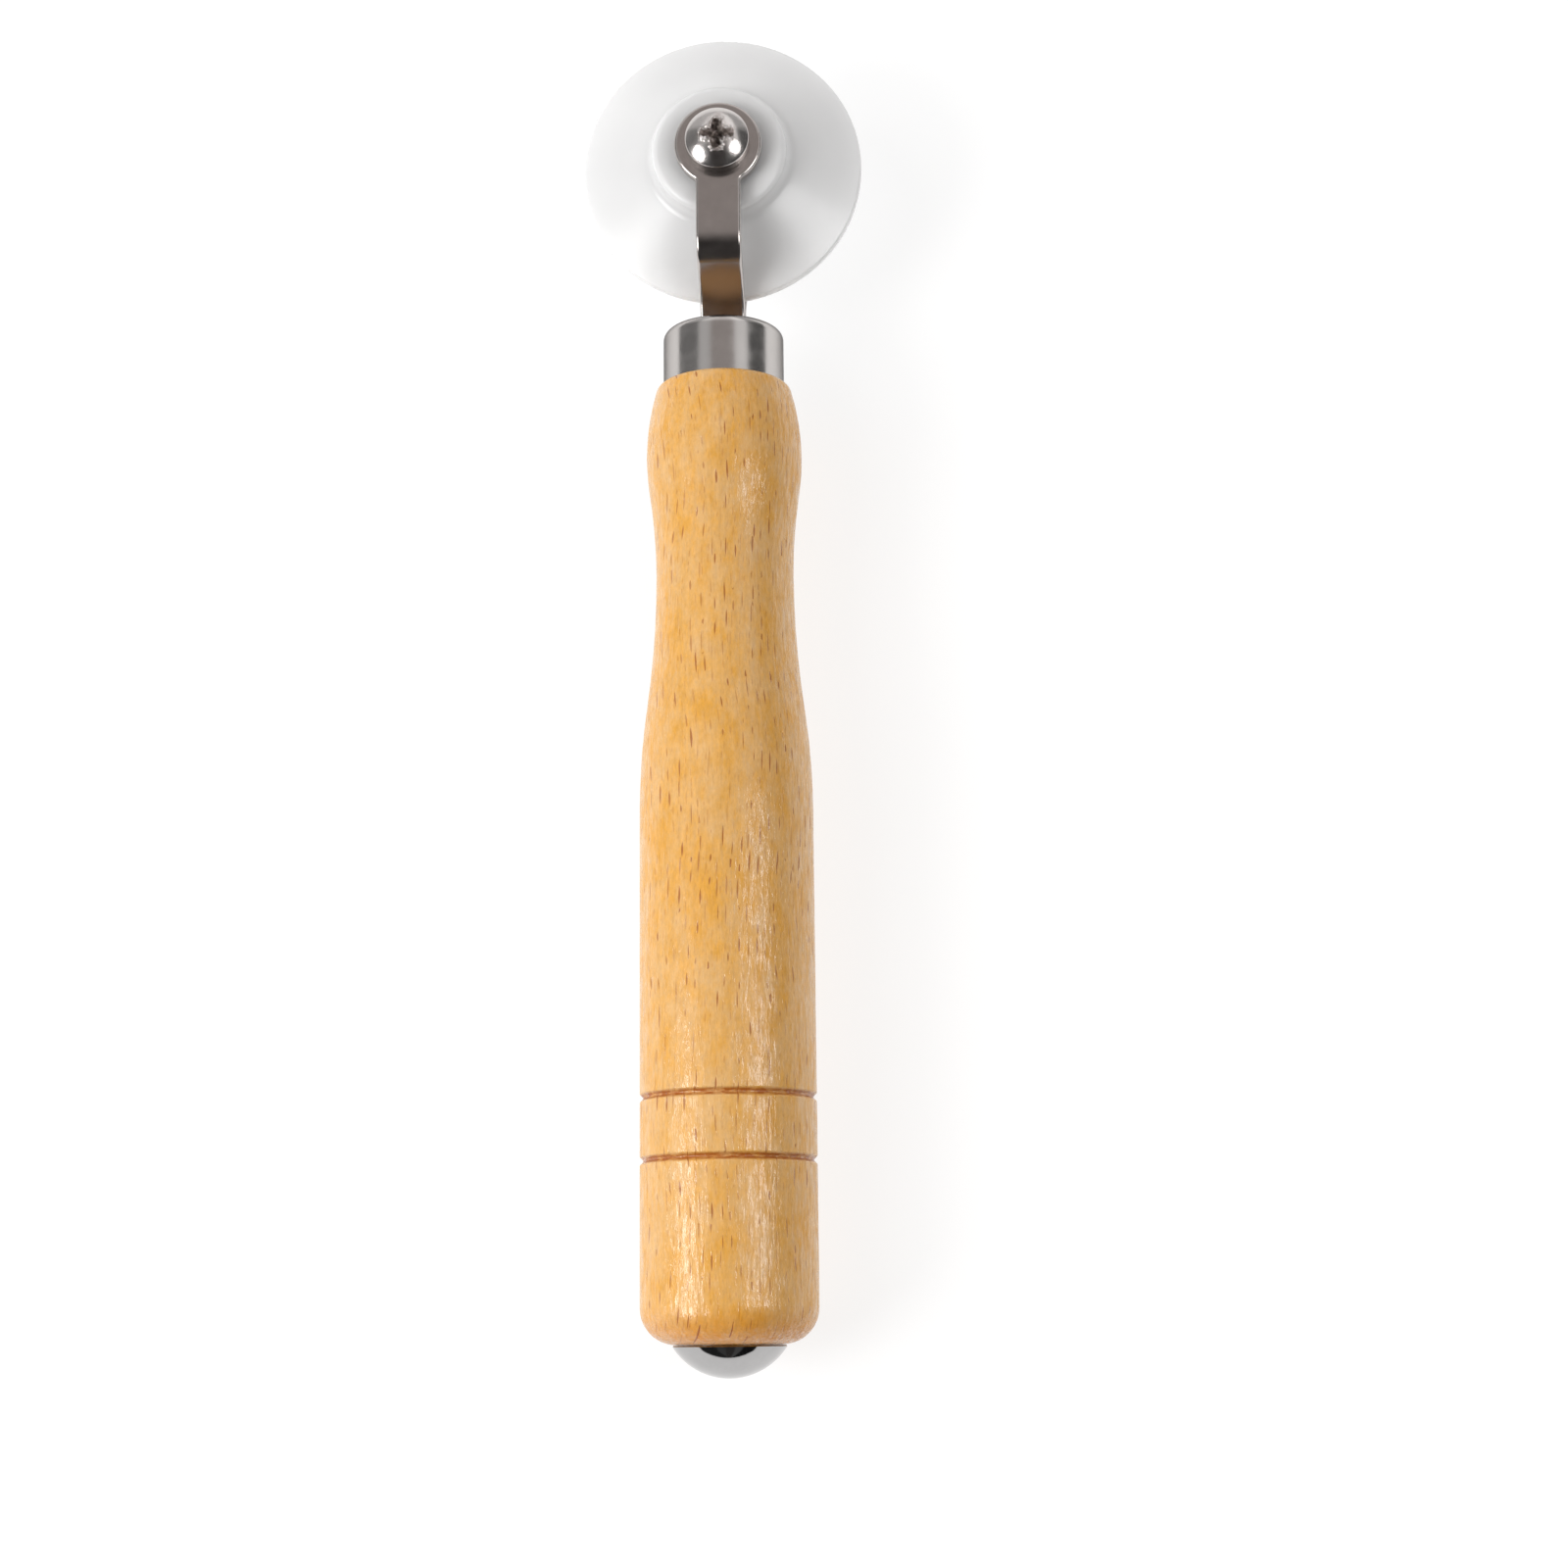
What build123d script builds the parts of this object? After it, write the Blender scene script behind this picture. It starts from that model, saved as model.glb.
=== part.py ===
from build123d import *
import os

# Hand tracing wheel: a nylon wheel in a bent strap fork, on a turned wooden handle.
# Millimetres. The tool lies on a table: +Y runs from the handle's butt to the wheel, +Z is up
# along the wheel's axle, and the origin is on the table, below the middle of the tool.
# A "station" is a distance from the wheel's axle towards the butt, along the handle's axis.

os.makedirs("parts", exist_ok=True)

# ---- driving dimensions ----
overall_length = 185.0

# wheel
wheel_radius = 19.5
rim_half = 0.55
rim_round = 0.5
hub_half = 7.8
hub_radius = 9.2
hub_foot_radius = 9.4
cone_half_at_hub = 5.3
hub_edge_round = 0.9
hub_foot_round = 2.0
bore_round = 0.3

# axle stack: M5 screw, spacer sleeve, washers, nut
screw_radius = 2.5
sleeve_bore_radius = 2.55
sleeve_radius = 3.5
sleeve_chamfer = 0.15
running_clearance = 0.05
washer_bore_radius = 3.6
washer_radius = 4.8
washer_thickness = 0.5
washer_chamfer = 0.1
washer_gap = 0.05
head_radius = 4.38
head_height = 3.5
head_side = 1.45
head_brow_radius = 4.29
head_brow_rise = 0.26
recess_width = 4.5
recess_slot = 1.15
recess_centre_radius = 1.2
recess_depth = 2.3
recess_taper = 8
m5_pitch = 0.8
m5_thread_turns = 9
m5_groove = 0.36
screw_chamfer = 0.5
lock_washer_radius = 4.6
lock_washer_thickness = 1.2
lock_washer_split = 0.9
lock_washer_split_angle = 20
nut_across_flats = 8.0
nut_height = 4.7
nut_face_radius = 3.76
nut_corner_radius = 4.64
nut_chamfer_slope = 0.577
nut_mouth_chamfer = 0.3
nut_thread_gap = 0.02
screw_hole_gap = 0.1
screw_end_recess = 0.1

# fork: each arm steps down to a tang of two layers, folded at its end
strap_thickness = 1.2
strap_width = 6.15
strap_edge_round = 0.4
eye_radius = 6.0
neck_round = 0.6
arm_shoulder_station = 15.0
arm_shoulder_round = 5.0
arm_knee_station = 19.55
arm_knee_height = 2.55
arm_knee_round = 8.0
arm_root_station = 22.65
arm_root_round = 3.0
fold_gap = 0.3
tang_end_station = 46.0

# ferrule
ferrule_top = 24.0
ferrule_length = 8.1
ferrule_radius = 8.3
ferrule_wall = 0.6
ferrule_round = 1.3
ferrule_mouth_radius = 6.95

# handle
tenon_radius = 7.65
tenon_inset = 1.8
tenon_edge_round = 0.9
slot_gap = 0.05
slot_end_gap = 0.3
shoulder_radius = 9.29
shoulder_round = 0.7
bulge_station = 42.2
bulge_radius = 10.62
waist_station = 59.0
waist_radius = 9.33
waist_split = 0.31
barrel_station = 91.4
barrel_split = 0.57
barrel_radius = 11.6
groove_stations = (129.6, 137.75)
groove_width = 1.3
groove_depth = 0.55
groove_rise = 0.1
groove_root = 0.25
groove_lip = 0.2
radius_tolerance = 0.01
butt_station = 161.2
butt_round = 4.7

# end cap and its nail
cap_rim_station = 161.45
cap_radius = 7.42
cap_lip_radius = 7.3
cap_wall = 0.45
cap_gap = 0.05
nail_head_radius = 6.2
nail_head_thickness = 0.8
nail_radius = 1.2
nail_length = 18.0
nail_point = 3.0
nail_hole_gap = 0.05
nail_hole_spare = 0.5

# ---- places ----
sleeve_half = hub_half + washer_thickness + 2 * washer_gap
arm_outer = sleeve_half + strap_thickness
lock_washer_bottom = arm_outer + lock_washer_thickness
nut_bottom = lock_washer_bottom + nut_height
axle_y = overall_length / 2 - wheel_radius
axle_z = nut_bottom
axle_centre = (0, axle_y, axle_z)

axle_plane = Plane(origin=axle_centre)
axle_section = Plane(origin=axle_centre, x_dir=(1, 0, 0), z_dir=(0, -1, 0))
axle_line = Axis(axle_centre, (0, 0, 1))
# local x is the station, local y is the height above the handle's axis
turning_plane = Plane(origin=axle_centre, x_dir=(0, -1, 0), z_dir=(-1, 0, 0))
turning_line = Axis(axle_centre, (0, -1, 0))


def station_plane(station):
    """Plane across the handle at a station, facing the butt."""
    return Plane(origin=(0, axle_y - station, axle_z), x_dir=(1, 0, 0), z_dir=(0, -1, 0))


def ogee(start, end, split):
    """Two tangent arcs between points where the outline runs level, meeting at a fraction of the way."""
    meeting = Vector(start) + (Vector(end) - Vector(start)) * split
    TangentArc(start, meeting, tangent=(1, 0))
    TangentArc(end, meeting, tangent=(-1, 0))


def save(piece, name):
    """Label a finished piece and write its STEP file."""
    piece.part.label = name
    export_step(piece.part, f"parts/{name}.step")


# ---- wheel: two cones back to back, with a raised hub on each side ----
with BuildPart() as wheel:
    bore_radius = sleeve_radius + running_clearance
    with BuildSketch(axle_section):
        with BuildLine():
            FilletPolyline(
                (bore_radius, 0),
                (bore_radius, hub_half),
                (hub_radius, hub_half),
                (hub_foot_radius, cone_half_at_hub),
                (wheel_radius, rim_half),
                (wheel_radius, 0),
                radius=[bore_round, hub_edge_round, hub_foot_round, rim_round],
            )
            Line((wheel_radius, 0), (bore_radius, 0))
        make_face()
    revolve(axis=axle_line)
    mirror(about=axle_plane)
save(wheel, "wheel")


# ---- axle sleeve: spacer tube clamped between the arms ----
with BuildPart() as axle_sleeve:
    with BuildSketch(axle_plane.offset(-sleeve_half)):
        Circle(sleeve_radius)
        Circle(sleeve_bore_radius, mode=Mode.SUBTRACT)
    extrude(amount=2 * sleeve_half)
    chamfer(axle_sleeve.edges().filter_by(GeomType.CIRCLE), length=sleeve_chamfer)
save(axle_sleeve, "axle_sleeve")


# ---- hub washers, one on each side of the hub ----
washer_bottoms = {
    "hub_washer_top": hub_half + washer_gap,
    "hub_washer_bottom": -hub_half - washer_gap - washer_thickness,
}
for name, bottom in washer_bottoms.items():
    with BuildPart() as hub_washer:
        with BuildSketch(axle_plane.offset(bottom)):
            Circle(washer_radius)
            Circle(washer_bore_radius, mode=Mode.SUBTRACT)
        extrude(amount=washer_thickness)
        chamfer(hub_washer.edges().filter_by(GeomType.CIRCLE), length=washer_chamfer)
    save(hub_washer, name)


# ---- fork: one folded strap, with an eye on each arm and a tang in the handle ----
tang_half = strap_thickness + fold_gap / 2
with BuildPart() as fork:
    with BuildSketch(turning_plane):
        with BuildLine():
            arm = FilletPolyline(
                (-eye_radius, arm_outer),
                (arm_shoulder_station, arm_outer),
                (arm_knee_station, arm_knee_height),
                (arm_root_station, tang_half),
                (tang_end_station - tang_half, tang_half),
                radius=[arm_shoulder_round, arm_knee_round, arm_root_round],
            )
            offset(arm, amount=-strap_thickness, side=Side.RIGHT)
        make_face()
    extrude(amount=eye_radius, both=True)
    with BuildSketch(axle_plane) as blank:
        Circle(eye_radius)
        with Locations((0, -tang_end_station / 2)):
            Rectangle(strap_width, tang_end_station)
        necks = blank.vertices().filter_by_position(Axis.Y, -eye_radius, -eye_radius / 2)
        fillet(necks, radius=neck_round)
    extrude(amount=arm_outer, mode=Mode.INTERSECT)
    flat_faces = fork.faces().filter_by(Axis.Z).sort_by(Axis.Z)
    arm_rims = flat_faces[-1].edges().filter_by_position(
        Axis.Y, axle_y - arm_shoulder_station + arm_shoulder_round, axle_y + eye_radius)
    fillet(arm_rims, radius=strap_edge_round)
    mirror(about=axle_plane)
    with BuildSketch(turning_plane):
        with Locations((tang_end_station - tang_half, 0)):
            Circle(tang_half)
    extrude(amount=strap_width / 2, both=True)
    with BuildSketch(axle_plane.offset(-arm_outer)):
        Circle(screw_radius + screw_hole_gap)
    extrude(amount=2 * arm_outer, mode=Mode.SUBTRACT)
save(fork, "fork")


# ---- axle screw: M5 pan head with a cross recess, its thread drawn as plain rings ----
head_top = arm_outer + head_height
screw_end = -nut_bottom + screw_end_recess
with BuildPart() as axle_screw:
    with BuildSketch(axle_section):
        with BuildLine():
            brow = (head_brow_radius, arm_outer + head_side + head_brow_rise)
            dome = TangentArc((0, head_top), brow, tangent=(1, 0))
            TangentArc(brow, (head_radius, arm_outer + head_side), tangent=dome % 1)
            Polyline(
                (head_radius, arm_outer + head_side),
                (head_radius, arm_outer),
                (screw_radius, arm_outer),
                (screw_radius, screw_end + screw_chamfer),
                (screw_radius - screw_chamfer, screw_end),
                (0, screw_end),
                (0, head_top),
            )
        make_face()
    revolve(axis=axle_line)
    with BuildSketch(axle_section):
        for turn in range(m5_thread_turns):
            with Locations((screw_radius, screw_end + screw_chamfer + (turn + 0.5) * m5_pitch)):
                RegularPolygon(radius=m5_groove, side_count=3, rotation=180)
    revolve(axis=axle_line, mode=Mode.SUBTRACT)
    with BuildSketch(axle_plane.offset(head_top)) as recess:
        Rectangle(recess_width, recess_slot)
        Rectangle(recess_slot, recess_width)
        Circle(recess_centre_radius)
    extrude(amount=-recess_depth, taper=recess_taper, mode=Mode.SUBTRACT)
save(axle_screw, "axle_screw")


# ---- lock washer: split spring washer, pressed flat ----
with BuildPart() as lock_washer:
    with BuildSketch(axle_plane.offset(-lock_washer_bottom)):
        Circle(lock_washer_radius)
        Circle(screw_radius + screw_hole_gap, mode=Mode.SUBTRACT)
    extrude(amount=lock_washer_thickness)
    with BuildSketch(Plane(origin=(0, axle_y, axle_z - arm_outer - lock_washer_thickness / 2),
                           x_dir=(0, 1, 0), z_dir=(1, 0, 0))):
        Rectangle(lock_washer_split, 2 * lock_washer_thickness, rotation=lock_washer_split_angle)
    extrude(amount=2 * lock_washer_radius, mode=Mode.SUBTRACT)
save(lock_washer, "lock_washer")


# ---- axle nut: M5 hexagon, chamfered on both faces ----
with BuildPart() as axle_nut:
    with BuildSketch(axle_plane.offset(-nut_bottom)):
        RegularPolygon(radius=nut_across_flats / 2, side_count=6, major_radius=False)
    extrude(amount=nut_height)
    with BuildSketch(axle_section):
        with BuildLine():
            corner_drop = (nut_corner_radius - nut_face_radius) * nut_chamfer_slope
            Polyline(
                (0, -nut_bottom),
                (nut_face_radius, -nut_bottom),
                (nut_corner_radius, -nut_bottom + corner_drop),
                (nut_corner_radius, -lock_washer_bottom - corner_drop),
                (nut_face_radius, -lock_washer_bottom),
                (0, -lock_washer_bottom),
                close=True,
            )
        make_face()
    revolve(axis=axle_line, mode=Mode.INTERSECT)
    with BuildSketch(axle_plane.offset(-nut_bottom)):
        Circle(screw_radius + nut_thread_gap)
    extrude(amount=nut_height, mode=Mode.SUBTRACT)
    mouths = axle_nut.edges().filter_by(GeomType.CIRCLE).filter_by(
        lambda edge: edge.radius < nut_face_radius - nut_mouth_chamfer)
    chamfer(mouths, length=nut_mouth_chamfer)
save(axle_nut, "axle_nut")


# ---- ferrule: ring around the tenon, its top edge rounded inwards ----
ferrule_bottom = ferrule_top + ferrule_length
with BuildPart() as ferrule:
    with BuildSketch(turning_plane):
        with BuildLine():
            skin = FilletPolyline(
                (ferrule_top, ferrule_mouth_radius),
                (ferrule_top, ferrule_radius),
                (ferrule_bottom, ferrule_radius),
                radius=[ferrule_round],
            )
            offset(skin, amount=-ferrule_wall, side=Side.RIGHT)
        make_face()
    revolve(axis=turning_line)
save(ferrule, "ferrule")


# ---- handle: turned beech, with a tenon inside the ferrule and a slot for the fork's tang ----
with BuildPart() as handle:
    tenon_top = ferrule_top + tenon_inset
    with BuildSketch(turning_plane):
        with BuildLine():
            FilletPolyline(
                (tenon_top, 0),
                (tenon_top, tenon_radius),
                (ferrule_bottom, tenon_radius),
                (ferrule_bottom, shoulder_radius - shoulder_round),
                radius=[tenon_edge_round, 0],
            )
            front = TangentArc(
                (bulge_station, bulge_radius),
                (ferrule_bottom + shoulder_round, shoulder_radius),
                tangent=(-1, 0),
            )
            TangentArc(front @ 1, (ferrule_bottom, shoulder_radius - shoulder_round), tangent=front % 1)
            ogee((bulge_station, bulge_radius), (waist_station, waist_radius), waist_split)
            ogee((waist_station, waist_radius), (barrel_station, barrel_radius), barrel_split)
            Line((barrel_station, barrel_radius), (butt_station - butt_round, barrel_radius))
            RadiusArc(
                (butt_station - butt_round, barrel_radius),
                (butt_station, barrel_radius - butt_round),
                butt_round,
            )
            Polyline((butt_station, barrel_radius - butt_round), (butt_station, 0), (tenon_top, 0))
        make_face()
    revolve(axis=turning_line)
    with BuildSketch(turning_plane):
        for groove in groove_stations:
            with BuildLine():
                FilletPolyline(
                    (groove - groove_width / 2, barrel_radius + groove_rise),
                    (groove, barrel_radius - groove_depth),
                    (groove + groove_width / 2, barrel_radius + groove_rise),
                    radius=[groove_root],
                )
                Line(
                    (groove - groove_width / 2, barrel_radius + groove_rise),
                    (groove + groove_width / 2, barrel_radius + groove_rise),
                )
            make_face()
    revolve(axis=turning_line, mode=Mode.SUBTRACT)
    lips = handle.edges().filter_by(GeomType.CIRCLE).filter_by_position(
        Axis.Y, axle_y - groove_stations[1] - groove_width, axle_y - groove_stations[0] + groove_width)
    fillet(lips.filter_by(lambda edge: edge.radius > barrel_radius - radius_tolerance), radius=groove_lip)
    with BuildSketch(turning_plane):
        with BuildLine():
            nail_hole = nail_radius + nail_hole_gap
            Polyline(
                (butt_station, 0),
                (butt_station, nail_hole),
                (butt_station - nail_length + nail_point, nail_hole),
                (butt_station - nail_length - nail_hole_spare, 0),
                close=True,
            )
        make_face()
    revolve(axis=turning_line, mode=Mode.SUBTRACT)
    with BuildSketch(station_plane(tenon_top)):
        Rectangle(strap_width + 2 * slot_gap, 2 * (tang_half + slot_gap))
    extrude(amount=tang_end_station + slot_end_gap - tenon_top, mode=Mode.SUBTRACT)
save(handle, "handle")


# ---- cap nail: flat head on the butt's end grain ----
with BuildPart() as cap_nail:
    nail_seat = butt_station + cap_gap
    nail_end = nail_seat - nail_length
    with BuildSketch(turning_plane):
        with BuildLine():
            Polyline(
                (nail_end, 0),
                (nail_end + nail_point, nail_radius),
                (nail_seat, nail_radius),
                (nail_seat, nail_head_radius),
                (nail_seat + nail_head_thickness, nail_head_radius),
                (nail_seat + nail_head_thickness, 0),
                close=True,
            )
        make_face()
    revolve(axis=turning_line)
save(cap_nail, "cap_nail")


# ---- end cap: domed shell over the nail's head ----
cap_tip_station = overall_length - wheel_radius
cap_lip_station = butt_station + cap_gap
cap_mouth_radius = cap_lip_radius - cap_wall
cap_rise = cap_tip_station - cap_rim_station
dome_radius = (cap_radius ** 2 + cap_rise ** 2) / (2 * cap_rise)
hollow_rise = ((dome_radius - cap_wall) ** 2 - cap_mouth_radius ** 2) ** 0.5
mouth_station = cap_tip_station - dome_radius + hollow_rise
with BuildPart() as end_cap:
    with BuildSketch(turning_plane):
        with BuildLine():
            dome = TangentArc((cap_tip_station, 0), (cap_rim_station, cap_radius), tangent=(0, 1))
            Polyline(
                (cap_rim_station, cap_radius),
                (cap_lip_station, cap_lip_radius),
                (cap_lip_station, cap_mouth_radius),
                (mouth_station, cap_mouth_radius),
            )
            hollow = TangentArc(
                (cap_tip_station - cap_wall, 0),
                (mouth_station, cap_mouth_radius),
                tangent=(0, 1),
            )
            Line(hollow @ 0, dome @ 0)
        make_face()
    revolve(axis=turning_line)
save(end_cap, "end_cap")
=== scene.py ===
import math

import bmesh
import bpy
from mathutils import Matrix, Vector, noise


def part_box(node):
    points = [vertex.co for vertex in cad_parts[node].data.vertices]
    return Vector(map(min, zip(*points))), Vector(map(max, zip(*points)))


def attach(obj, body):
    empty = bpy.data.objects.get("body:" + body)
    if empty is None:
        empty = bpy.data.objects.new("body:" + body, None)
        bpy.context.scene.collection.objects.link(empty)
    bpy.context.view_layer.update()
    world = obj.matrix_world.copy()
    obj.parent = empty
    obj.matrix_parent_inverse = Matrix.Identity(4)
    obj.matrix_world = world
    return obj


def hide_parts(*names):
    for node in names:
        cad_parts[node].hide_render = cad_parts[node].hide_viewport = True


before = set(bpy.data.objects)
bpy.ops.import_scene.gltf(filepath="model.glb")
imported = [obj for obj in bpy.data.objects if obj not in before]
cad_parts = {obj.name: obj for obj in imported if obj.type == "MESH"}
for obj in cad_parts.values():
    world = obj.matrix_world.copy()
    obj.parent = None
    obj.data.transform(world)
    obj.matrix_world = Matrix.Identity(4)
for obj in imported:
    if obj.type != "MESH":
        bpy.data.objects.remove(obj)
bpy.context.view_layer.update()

MM = 0.001

# ---- places, in metres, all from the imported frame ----
wheel_low, wheel_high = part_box("wheel")
axle = (wheel_low + wheel_high) / 2
handle_low, handle_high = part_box("handle")
barrel_radius = (handle_high.x - handle_low.x) / 2
nut_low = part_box("axle_nut")[0]
fork_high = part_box("fork")[1]
screw_low, screw_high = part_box("axle_screw")


# ---- node helpers ----
class NodeTree:
    """The node tree of a material or a world, and short calls that add nodes to it."""

    def __init__(self, tree, coordinates):
        self.nodes = tree.nodes
        self.links = tree.links
        self.place = self.nodes.new("ShaderNodeTexCoord").outputs[coordinates]

    def feed(self, socket, value):
        """Set an input socket to a number or a colour, or link an output to it."""
        if isinstance(value, bpy.types.NodeSocket):
            self.links.new(value, socket)
        elif isinstance(value, tuple) and len(socket.default_value) == 4:
            socket.default_value = (*value, 1)
        else:
            socket.default_value = value

    def math(self, operation, a, b=0.0, clamp=False):
        """A sum, product or other operation on two numbers, kept from 0 to 1 if clamped."""
        node = self.nodes.new("ShaderNodeMath")
        node.operation = operation
        node.use_clamp = clamp
        self.feed(node.inputs[0], a)
        self.feed(node.inputs[1], b)
        return node.outputs[0]

    def length(self, a, b):
        """Length of the vector whose two parts are a and b."""
        return self.math("SQRT", self.math("ADD", self.math("POWER", a, 2.0), self.math("POWER", b, 2.0)))

    def vector(self, operation, a, b):
        node = self.nodes.new("ShaderNodeVectorMath")
        node.operation = operation
        self.feed(node.inputs[0], a)
        self.feed(node.inputs[1], b)
        return node.outputs[0]

    def split(self, vector):
        """The X, Y and Z of a vector or a colour."""
        node = self.nodes.new("ShaderNodeSeparateXYZ")
        self.links.new(vector, node.inputs[0])
        return node.outputs

    def join(self, x, y, z):
        node = self.nodes.new("ShaderNodeCombineXYZ")
        for socket, value in zip(node.inputs, (x, y, z)):
            self.feed(socket, value)
        return node.outputs[0]

    def noise(self, per_metre, detail=4.0, rough=0.5, place=None):
        """Noise of the tree's coordinates, or of a place given, with these repeats in a metre."""
        node = self.nodes.new("ShaderNodeTexNoise")
        node.inputs["Scale"].default_value = 1.0
        node.inputs["Detail"].default_value = detail
        node.inputs["Roughness"].default_value = rough
        self.links.new(self.vector("MULTIPLY", place or self.place, per_metre), node.inputs["Vector"])
        return node.outputs["Fac"]

    def ramp(self, value, stops):
        """A colour ramp: stops are (place, colour), a colour being a grey or an RGB triple."""
        node = self.nodes.new("ShaderNodeValToRGB")
        elements = node.color_ramp.elements
        while len(elements) < len(stops):
            elements.new(0.5)
        for element, (place, colour) in zip(elements, stops):
            element.position = place
            rgb = colour if isinstance(colour, tuple) else (colour,) * 3
            element.color = (*rgb, 1)
        self.links.new(value, node.inputs["Fac"])
        return node.outputs["Color"]

    def mix(self, factor, a, b, blend="MIX"):
        """Colour a, with colour b blended over it by the factor."""
        node = self.nodes.new("ShaderNodeMix")
        node.data_type = "RGBA"
        node.blend_type = blend
        for index, value in ((0, factor), (6, a), (7, b)):
            self.feed(node.inputs[index], value)
        return node.outputs[2]


class Shading(NodeTree):
    """A new material's node tree, with a Principled shader."""

    def __init__(self, name):
        self.material = bpy.data.materials.new(name)
        self.material.use_nodes = True
        self.material.node_tree.nodes.clear()
        super().__init__(self.material.node_tree, "Object")
        output = self.nodes.new("ShaderNodeOutputMaterial")
        self.shader = self.nodes.new("ShaderNodeBsdfPrincipled")
        self.links.new(self.shader.outputs["BSDF"], output.inputs["Surface"])

    def set(self, **values):
        """Inputs of the shader, with underscores for the spaces in their names."""
        for name, value in values.items():
            self.feed(self.shader.inputs[name.replace("_", " ")], value)

    def bump(self, height, depth, *inputs):
        """Relief of this depth on both of the shader's normals, or only on the inputs named."""
        node = self.nodes.new("ShaderNodeBump")
        node.inputs["Distance"].default_value = depth
        self.links.new(height, node.inputs["Height"])
        for name in inputs or ("Normal", "Coat Normal"):
            self.links.new(node.outputs["Normal"], self.shader.inputs[name])


def add_object(name, data):
    """A new object in the scene, of this mesh, light or camera."""
    piece = bpy.data.objects.new(name, data)
    bpy.context.scene.collection.objects.link(piece)
    return piece


def dress(material, *names):
    """Give these CAD nodes this material."""
    for name in names:
        mesh = bpy.data.objects[name].data
        mesh.materials.clear()
        mesh.materials.append(material)


# ---- beech ----
def flecks(look, grain, per_metre, half_width, half_length, least):
    """Spindle-shaped marks, one to a cell, as long and dark as the cell's random colour says."""
    shortest, narrowest, crisp, contrast = 0.45, 0.55, 2.4, 1.9
    cells = look.nodes.new("ShaderNodeTexVoronoi")
    cells.inputs["Scale"].default_value = 1.0
    point = look.vector("MULTIPLY", grain, per_metre)
    look.links.new(point, cells.inputs["Vector"])
    across, along, _ = look.split(look.vector("SUBTRACT", point, cells.outputs["Position"]))
    dark, long, wide = look.split(cells.outputs["Color"])
    reach = look.math("MULTIPLY", look.math("ADD", long, shortest), half_length)
    girth = look.math("MULTIPLY", look.math("ADD", wide, narrowest), half_width)
    along = look.math("POWER", look.math("DIVIDE", along, reach), 2.0)
    across = look.math("DIVIDE", look.math("ABSOLUTE", across), girth)
    inside = look.math("SUBTRACT", 1.0, look.math("ADD", along, across), clamp=True)
    edge = look.math("MULTIPLY", inside, crisp, clamp=True)
    depth = look.math("MULTIPLY", look.math("SUBTRACT", dark, least), contrast, clamp=True)
    return look.math("MULTIPLY", edge, depth)


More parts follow.
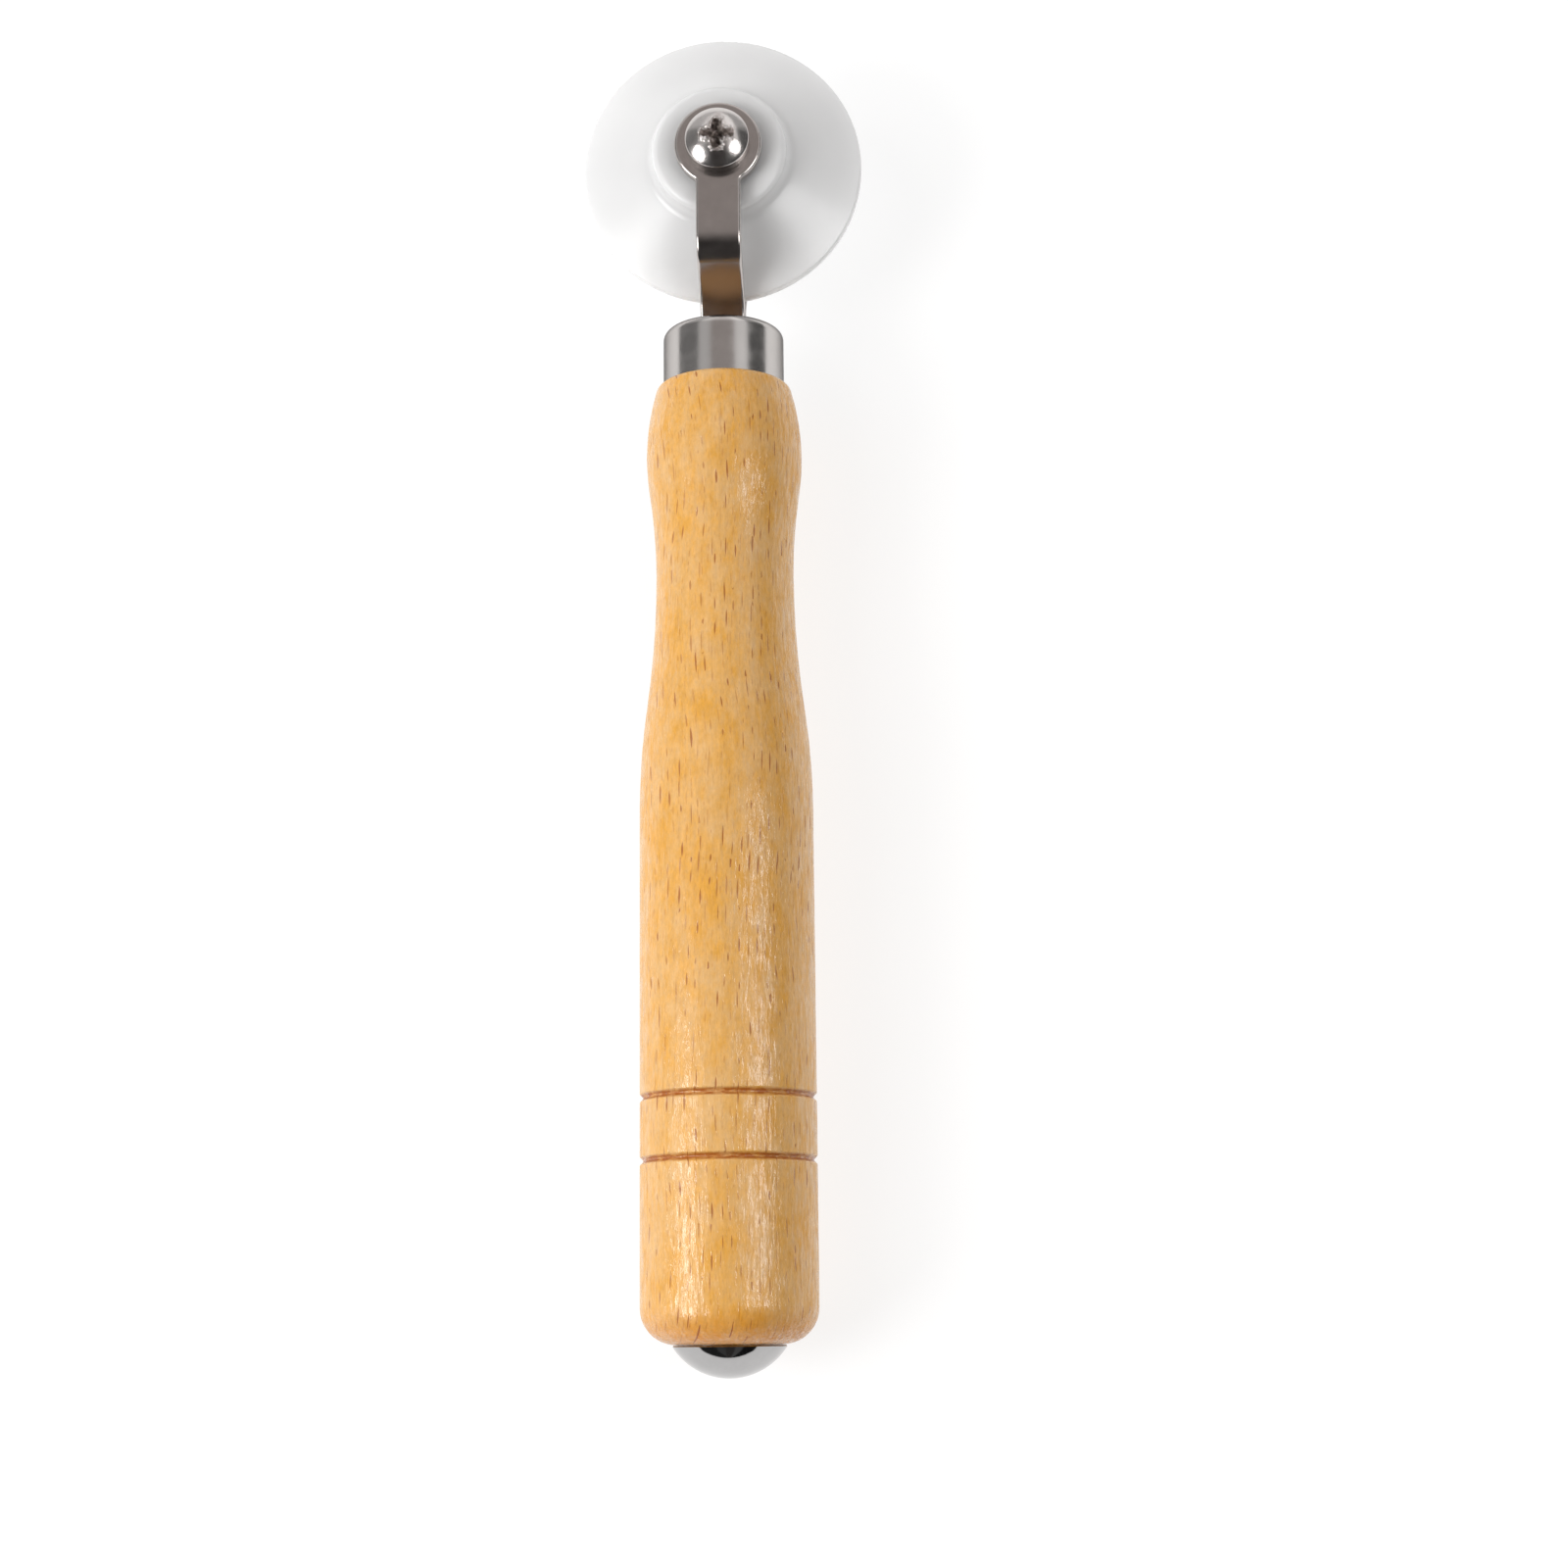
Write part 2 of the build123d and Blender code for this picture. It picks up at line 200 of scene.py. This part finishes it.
def beech():
    """Varnished beech: honey blotches, fibres, and ray flecks that fan out from the pith."""
    look = Shading("beech")
    x, y, z = look.split(look.place)

    # the rings run round a pith outside the handle, and the grain sways a little along it
    pith_side, pith_depth, ring_radius, sway_width = -12 * MM, -30 * MM, 36 * MM, 3.2 * MM
    across = look.math("SUBTRACT", x, pith_side)
    up = look.math("SUBTRACT", z, axle.z + pith_depth)
    outward = look.length(across, up)
    around = look.math("MULTIPLY", look.math("ARCTAN2", across, up), ring_radius)
    sway = look.math("SUBTRACT", look.noise((45, 38, 45), detail=1), 0.5)
    sway = look.math("MULTIPLY", sway, sway_width)
    grain = look.join(look.math("ADD", around, sway), y, outward)

    # flecks are dark where the rings lie flat to the surface, and faint where they are cut across
    height = look.math("SUBTRACT", z, axle.z)
    radius = look.length(x, height)
    facing = look.math("ADD", look.math("MULTIPLY", x, across), look.math("MULTIPLY", height, up))
    facing = look.math("DIVIDE", facing, look.math("MULTIPLY", radius, outward))
    flat_sawn = look.ramp(look.math("ABSOLUTE", facing), [(0.15, 0.2), (0.65, 1.0)])

    blotch = look.noise((360, 190, 360), detail=6, rough=0.7)
    patch = look.noise((75, 40, 75), detail=2)
    tone = look.math("ADD", look.math("MULTIPLY", blotch, 0.8), look.math("MULTIPLY", patch, 0.2))
    pale, honey, amber = (0.73, 0.43, 0.165), (0.725, 0.39, 0.106), (0.715, 0.345, 0.047)
    wood = look.ramp(tone, [(0.38, pale), (0.50, honey), (0.62, amber)])
    fibre = look.noise((2600, 300, 700), detail=5, rough=0.6, place=grain)
    fibre = look.ramp(fibre, [(0.3, 0.91), (0.7, 1.05)])
    speck = look.ramp(look.noise((2900, 1300, 2900), detail=4, rough=0.7), [(0.35, 0.93), (0.62, 1.05)])
    wood = look.mix(1.0, look.mix(1.0, wood, fibre, "MULTIPLY"), speck, "MULTIPLY")

    rays = flecks(look, grain, (900, 300, 170), 0.085, 0.38, least=0.3)
    small = flecks(look, grain, (1500, 560, 400), 0.1, 0.36, least=0.4)
    ray_brown, small_brown = (0.33, 0.09, 0.008), (0.42, 0.14, 0.018)
    wood = look.mix(look.math("MULTIPLY", small, 0.4), wood, small_brown)
    wood = look.mix(look.math("MULTIPLY", look.math("MULTIPLY", rays, flat_sawn), 0.85), wood, ray_brown)

    # the wood turns darker and more orange towards the butt
    butt_reach, butt_fade, butt_orange = 5 * MM, 4 * MM, (0.97, 0.76, 0.42)
    butt = look.math("SUBTRACT", handle_low.y + butt_reach, y)
    butt = look.math("DIVIDE", butt, butt_fade, clamp=True)
    wood = look.mix(butt, wood, look.mix(1.0, wood, butt_orange, "MULTIPLY"))

    # varnish pools and scorches in the turned grooves, the only places under the barrel's radius there
    groove_station, groove_reach, groove_lip, groove_fade = 133.7 * MM, 8 * MM, 0.05 * MM, 0.22 * MM
    sunk = look.math("SUBTRACT", barrel_radius - groove_lip, radius)
    sunk = look.math("DIVIDE", sunk, groove_fade, clamp=True)
    from_grooves = look.math("ABSOLUTE", look.math("SUBTRACT", y, axle.y - groove_station))
    grooved = look.math("LESS_THAN", from_grooves, groove_reach)
    uneven = look.ramp(look.noise((700, 2200, 700), detail=3), [(0.45, 1.0), (0.62, 0.45)])
    scorch = look.math("MULTIPLY", look.math("MULTIPLY", sunk, grooved), uneven)
    wood = look.mix(scorch, wood, (0.38, 0.11, 0.012))

    # the tenon's end grain, inside the ferrule, is bare wood
    bare = look.math("GREATER_THAN", y, handle_high.y - 0.3 * MM)
    wood = look.mix(bare, wood, look.mix(1.0, speck, (0.8, 0.46, 0.2), "MULTIPLY"))

    # the varnish shines in streaks, and its relief is deeper than that of the wood below it
    varnish = look.ramp(look.noise((2400, 340, 2400), detail=5, rough=0.75), [(0.44, 0.1), (0.58, 1.0)])
    look.set(Base_Color=wood, Roughness=0.45, Specular_IOR_Level=0.3)
    look.set(Coat_Weight=varnish, Coat_Roughness=0.11, Coat_IOR=1.65)
    pores = look.noise((1900, 300, 1900), detail=3, rough=0.6)
    relief = look.math("SUBTRACT", pores, look.math("MULTIPLY", rays, 0.4))
    look.bump(relief, 0.05 * MM, "Normal")
    look.bump(relief, 0.14 * MM, "Coat Normal")
    return look.material


# ---- metals ----
def plated(name, colour, rough, peel=0.0, lines=None, edge_tint=1.0):
    """Plated metal: cloudy roughness, a faint orange peel, and brush lines where given."""
    look = Shading(name)
    cloud = look.noise((420, 420, 420), detail=5, rough=0.65)
    dull = tuple(0.94 * part for part in colour)
    tint = look.ramp(cloud, [(0.35, dull), (0.65, colour)])
    haze = look.ramp(cloud, [(0.3, rough * 0.75), (0.7, rough * 1.3)])
    look.set(Base_Color=tint, Metallic=1.0, Roughness=haze, Specular_Tint=(edge_tint,) * 3)
    height = look.math("MULTIPLY", look.noise((1800, 1800, 1800), detail=2), peel)
    if lines:
        height = look.math("ADD", height, look.noise(lines, detail=6, rough=0.7))
    look.bump(height, 0.004 * MM)
    return look.material


def screw_nickel():
    """Bright nickel plate with an uneven skin, on the screw, the nut and the washers."""
    return plated("screw_nickel", (0.66, 0.62, 0.6), 0.2, peel=3)


def satin_nickel():
    """Nickel plate with fine lines round the ferrule, darker towards its sides."""
    return plated("satin_nickel", (0.6, 0.57, 0.552), 0.2, peel=0.5, lines=(90, 7000, 90), edge_tint=0.3)


def bright_nickel():
    """Smooth nickel plate on the fork's strap."""
    return plated("bright_nickel", (0.55, 0.51, 0.49), 0.2, peel=0.5)


def brass():
    """Turned brass, with lines round the sleeve."""
    return plated("brass", (0.78, 0.6, 0.3), 0.2, lines=(90, 90, 5000))


def zinc_steel():
    """Bluish zinc plate on the lock washer and the nail."""
    return plated("zinc_steel", (0.6, 0.61, 0.63), 0.2, peel=1.0)


def chrome():
    """Polished chrome plate on the cap."""
    return plated("chrome", (0.45, 0.442, 0.44), 0.06, peel=0.3)


def nylon():
    """Moulded natural nylon: milky, a little cloudy, with painted shade on the hub round the fork's eye, a
    painted lighter ring just outside the hub, and a satin skin.
    """
    look = Shading("nylon")
    cloud = look.noise((60, 60, 90), detail=3)
    milk = look.ramp(cloud, [(0.3, (0.75, 0.75, 0.75)), (0.7, (0.79, 0.79, 0.788))])
    # painted shade and painted light: the colour greys towards the hub and the fork's eye, and brightens in
    # a ring just outside the hub, standing in for light through the thinner nylon
    ramp_radius = 20 * MM
    x, y, _ = look.split(look.vector("SUBTRACT", look.place, tuple(axle)))
    reach = look.math("DIVIDE", look.length(x, y), ramp_radius)
    depth = look.ramp(reach, [(0.30, 0.8), (0.42, 0.88), (0.47, 0.96), (0.55, 1.02), (0.7, 1.0), (1.0, 1.0)])
    milk = look.mix(1.0, milk, depth, "MULTIPLY")
    haze = look.ramp(look.noise((900, 900, 900), detail=4), [(0.3, 0.22), (0.7, 0.262)])
    look.set(Base_Color=milk, Roughness=haze, IOR=1.47)
    look.set(Subsurface_Weight=0.65, Subsurface_Radius=(1, 1, 1), Subsurface_Scale=3.5 * MM)
    look.bump(look.noise((400, 400, 400), detail=1), 0.004 * MM)
    return look.material


screw_plate = screw_nickel()
dress(beech(), "handle")
dress(satin_nickel(), "ferrule")
dress(bright_nickel(), "fork")
dress(screw_plate, "axle_nut", "hub_washer_top", "hub_washer_bottom")
dress(nylon(), "wheel")
dress(brass(), "axle_sleeve")
dress(zinc_steel(), "lock_washer", "cap_nail")
dress(chrome(), "end_cap")


# ---- axle screw: pan head with a chewed cross recess, and a cut thread ----
def head_height(x, y, apex, dome_radius):
    """Height of the head's top at x, y from the axle, in the frame: the dome less the worn recess."""
    recess_reach, recess_depth, middle_reach = 2.5 * MM, 1.7 * MM, 1.2 * MM
    slot_half, wall_width, rim_offset, rim_width = 0.66 * MM, 0.4 * MM, 0.1 * MM, 0.4 * MM

    # the cross is cut where a wobbling copy of the place says, so that its edges are bent
    spot = Vector((x, y, 0)) / MM
    elsewhere = Vector((7, 3, 1))
    u, v = x, y
    for repeats, swing in ((1.3, 0.3 * MM), (4.5, 0.17 * MM)):
        u += swing * noise.noise(spot * repeats)
        v += swing * noise.noise(spot * repeats + elsewhere)

    cut, rim = 0.0, 0.0
    for along, aside in ((abs(u), abs(v)), (abs(v), abs(u))):
        floor_depth = max(0.0, 1 - (along / recess_reach) ** 3)
        taper = slot_half * (1.15 - 0.4 * along / recess_reach)
        wall = min(1.0, max(0.0, (taper - aside) / wall_width))
        cut = max(cut, floor_depth * wall)
        beside = max(0.0, 1 - abs(aside - taper - rim_offset) / rim_width)
        rim = max(rim, beside * min(1.0, 3 * floor_depth))
    cut = max(cut, min(1.0, max(0.0, (middle_reach - math.hypot(u, v)) / (2 * wall_width))))

    chewed = 0.7 * MM * noise.noise(spot * 2.3) + 0.5 * MM * noise.noise(spot * 4.7)
    dome = apex - (dome_radius - math.sqrt(dome_radius ** 2 - x * x - y * y))
    height = dome - cut * recess_depth + chewed * (0.7 * rim * (1 - cut) + 1.5 * cut)
    return min(height, apex)


def axle_screw():
    """The screw in one closed skin of rings, from the middle of its head down to its tip."""
    around, head_rings, thread_rings = 288, 84, 160
    head_radius = (screw_high.x - screw_low.x) / 2
    brow_radius = head_radius - 0.09 * MM
    brow, side_top, bearing = (fork_high.z + rise * MM for rise in (1.71, 1.45, 0.01))
    apex = screw_high.z
    crown = apex - brow
    dome_radius = (brow_radius ** 2 + crown ** 2) / (2 * crown)
    shank, pitch, thread_depth, thread_length = 2.5 * MM, 0.8 * MM, 0.42 * MM, 8.0 * MM
    tip_chamfer = 0.5 * MM
    shape = bmesh.new()

    def top(x, y):
        return head_height(x, y, apex, dome_radius)

    def ring(radius_at, height_at):
        """Points round the axle, their radius told by the angle and their height by the place."""
        points = []
        for step in range(around):
            angle = math.tau * step / around
            radius = radius_at(angle)
            x, y = radius * math.cos(angle), radius * math.sin(angle)
            points.append(shape.verts.new((axle.x + x, axle.y + y, height_at(x, y))))
        return points

    def bridge(upper, lower):
        for step in range(around):
            after = (step + 1) % around
            shape.faces.new((upper[step], lower[step], lower[after], upper[after]))
        return lower

    # the head's top
    centre = shape.verts.new((axle.x, axle.y, top(0, 0)))
    last = ring(lambda angle: brow_radius / head_rings, top)
    for step in range(around):
        shape.faces.new((centre, last[step], last[(step + 1) % around]))
    for count in range(2, head_rings + 1):
        last = bridge(last, ring(lambda angle: brow_radius * count / head_rings, top))

    # the head's side and underside, and the plain shank
    outline = [
        (brow_radius + 0.045 * MM, brow - 0.05 * MM),
        (brow_radius + 0.075 * MM, brow - 0.12 * MM),
        (head_radius, side_top),
        (head_radius, bearing + 0.08 * MM),
        (head_radius - 0.08 * MM, bearing),
        (shank, bearing),
        (shank, screw_low.z + thread_length),
    ]
    for radius, height in outline:
        last = bridge(last, ring(lambda angle: radius, lambda x, y: height))

    def thread_radius(angle, height, fade):
        """A right-hand thread, faded in at its top and chamfered at the screw's tip."""
        turn = (height / pitch - angle / math.tau) % 1.0
        crest = shank - thread_depth * fade * (1 - abs(2 * turn - 1))
        return min(crest, shank - tip_chamfer + (height - screw_low.z))

    for count in range(1, thread_rings + 1):
        height = screw_low.z + thread_length * (1 - count / thread_rings)
        fade = min(1.0, 6 * count / thread_rings)
        last = bridge(last, ring(lambda angle: thread_radius(angle, height, fade), lambda x, y: height))
    shape.faces.new(last)

    bmesh.ops.recalc_face_normals(shape, faces=shape.faces)
    mesh = bpy.data.meshes.new("axle_screw_detailed")
    shape.to_mesh(mesh)
    shape.free()
    mesh.shade_smooth()
    mesh.set_sharp_from_angle(angle=math.radians(38))
    mesh.materials.append(screw_plate)
    piece = add_object("axle_screw_detailed", mesh)
    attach(piece, "tool_body")
    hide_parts("axle_screw")


axle_screw()


# ---- floor: a faintly lit table that touches the nut and the far end of the handle ----
def floor():
    """The table, which leans to the frame as the tool does when it lies down."""
    half_side, gap = 20.0, 0.02 * MM
    nut_rest, handle_rest = nut_low.y + 0.8 * MM, handle_low.y + 4.7 * MM
    slope = math.atan2(handle_low.z - nut_low.z, nut_rest - handle_rest)
    mesh = bpy.data.meshes.new("floor")
    shape = bmesh.new()
    bmesh.ops.create_grid(shape, x_segments=8, y_segments=8, size=half_side)
    shape.to_mesh(mesh)
    shape.free()
    look = Shading("floor")
    look.set(Base_Color=(0.28, 0.28, 0.28), Roughness=0.8, Specular_IOR_Level=0.2)
    look.set(Emission_Color=(1, 1, 1), Emission_Strength=0.77)
    mesh.materials.append(look.material)
    piece = add_object("floor", mesh)
    piece.location = (0, nut_rest, nut_low.z - gap)
    piece.rotation_euler = (-slope, 0, 0)


floor()


# ---- light and camera ----
def softbox(name, place, aim, size, radiance, mirrored=True):
    """An oval studio light, placed from the axle, that metals reflect if it is mirrored."""
    light = bpy.data.lights.new(name, "AREA")
    light.shape = "ELLIPSE"
    light.size, light.size_y = size
    area = math.pi / 4 * size[0] * size[1]
    light.energy = radiance * math.pi * area
    piece = add_object(name, light)
    piece.location = axle + Vector(place)
    piece.rotation_euler = (Vector(aim) - Vector(place)).to_track_quat("-Z", "Y").to_euler()
    piece.visible_glossy = mirrored


softbox("left_box", (-0.61, -0.27, 0.47), (0, -0.08, 0), (0.48, 0.38), 8.0)
softbox("right_box", (0.55, -0.12, 0.57), (0, -0.08, 0), (0.4, 0.34), 5.2)
softbox("key", (-0.75, -0.05, 0.75), (0, -0.07, 0), (0.9, 0.9), 2.4, mirrored=False)


def studio_world():
    """A light tent open towards the photographer: bands of ceiling, dark sides, dark front."""
    world = bpy.data.worlds.new("studio")
    world.use_nodes = True
    tent = NodeTree(world.node_tree, "Generated")

    def graded(value, low, high, stops):
        """A ramp from low to high, with its stops in the value's own units."""
        spread = tent.nodes.new("ShaderNodeMapRange")
        spread.inputs["From Min"].default_value = low
        spread.inputs["From Max"].default_value = high
        tent.links.new(value, spread.inputs["Value"])
        inner = [((place - low) / (high - low), colour) for place, colour in stops]
        return tent.ramp(spread.outputs["Result"], inner)

    x, y, z = tent.split(tent.place)
    taupe = (0.375, 0.345, 0.335)
    bands = [
        (-48, 0.2), (-42, 0.6), (-24, 0.56), (-18, taupe), (21, taupe), (28, 0.8), (48, 0.8), (54, 0.1)]
    bands = [(math.radians(degrees), colour) for degrees, colour in bands]
    ceiling = graded(tent.math("ARCTAN2", x, z), -math.pi / 2, math.pi / 2, bands)
    front = graded(y, -1.0, 1.0, [
        (-1.0, 0.12), (-0.45, 0.09), (-0.25, 0.25), (-0.08, 0.55), (0.08, 0.85), (0.3, 1.0)])
    back_wall = graded(y, 0.0, 1.0, [(0.55, 0.0), (0.7, 0.35), (1.0, 0.35)])
    light = tent.mix(1.0, tent.mix(1.0, ceiling, front, "MULTIPLY"), back_wall, "ADD")
    tent.links.new(light, tent.nodes["Background"].inputs["Color"])
    bpy.context.scene.world = world


def photographer():
    """The camera, almost straight down on the tool, from above the butt's end."""
    from_axle = Vector((0.02426, -0.15992, 0.35731))
    tilt, lean, roll = 11.372, 2.770, -0.599
    data = bpy.data.cameras.new("camera")
    data.lens = 62.61
    data.sensor_width = 36.0
    data.clip_start = 0.01
    camera = add_object("camera", data)
    camera.location = axle + from_axle
    camera.rotation_euler = [math.radians(angle) for angle in (tilt, lean, roll)]
    bpy.context.scene.camera = camera


studio_world()
photographer()
bpy.context.scene.view_settings.view_transform = "Standard"
